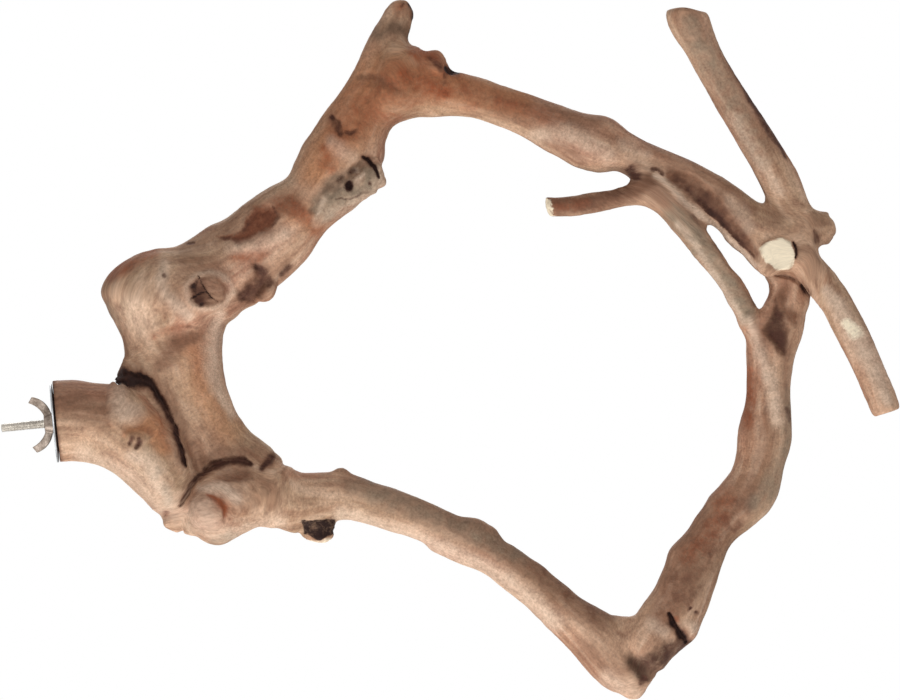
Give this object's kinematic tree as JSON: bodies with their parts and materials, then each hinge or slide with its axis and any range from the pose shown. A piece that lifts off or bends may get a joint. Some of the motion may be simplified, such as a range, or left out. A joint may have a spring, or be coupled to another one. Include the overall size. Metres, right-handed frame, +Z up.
{
  "type": "bird perch",
  "caption": "Forked natural branch perch with limbs grown round an open ring and a sawn stub that a hanger bolt, dished washer and wing nut clamp to cage bars.",
  "frame": {"origin": "on the bolt's axis, at the cage side of the large washer's seat", "axes": "+X runs from the cage into the perch along the bolt, +Z is up, and the front of the perch looks to -Y"},
  "size_m": [0.5974, 0.0723, 0.4785],
  "materials": {
    "wood": "bare sandblasted hardwood, matt",
    "bolt_steel": "bright zinc plated, thread rolled",
    "washer_steel": "zinc plated sheet, satin",
    "nut_zinc": "dull plated casting"
  },
  "bodies": {
    "branch": {"mount_limb": "wood", "lower_limb": "wood", "neck": "wood", "trunk": "wood", "upper_limb": "wood", "right_limb": "wood", "upper_side_branch": "wood", "lower_side_branch": "wood", "twig": "wood", "twig_shoot": "wood", "hanger_bolt": "bolt_steel", "fender_washer": "washer_steel"},
    "washer": {"clamp_washer": "washer_steel"},
    "nut": {"wing_nut": "nut_zinc"}
  },
  "joints": [
    {"name": "nut_travel", "type": "slide", "parent": "branch", "child": "washer", "axis": [-1, 0, 0], "range_m": [0, 0.022]},
    {"name": "nut_spin", "type": "hinge", "parent": "washer", "child": "nut", "pos_m": [0, 0, 0], "axis": [-1, 0, 0], "range_deg": [0, 7920]}
  ],
  "couplings": [
    {"joint": "nut_travel", "follows": "nut_spin", "m_per_rad": 0.00015915}
  ]
}
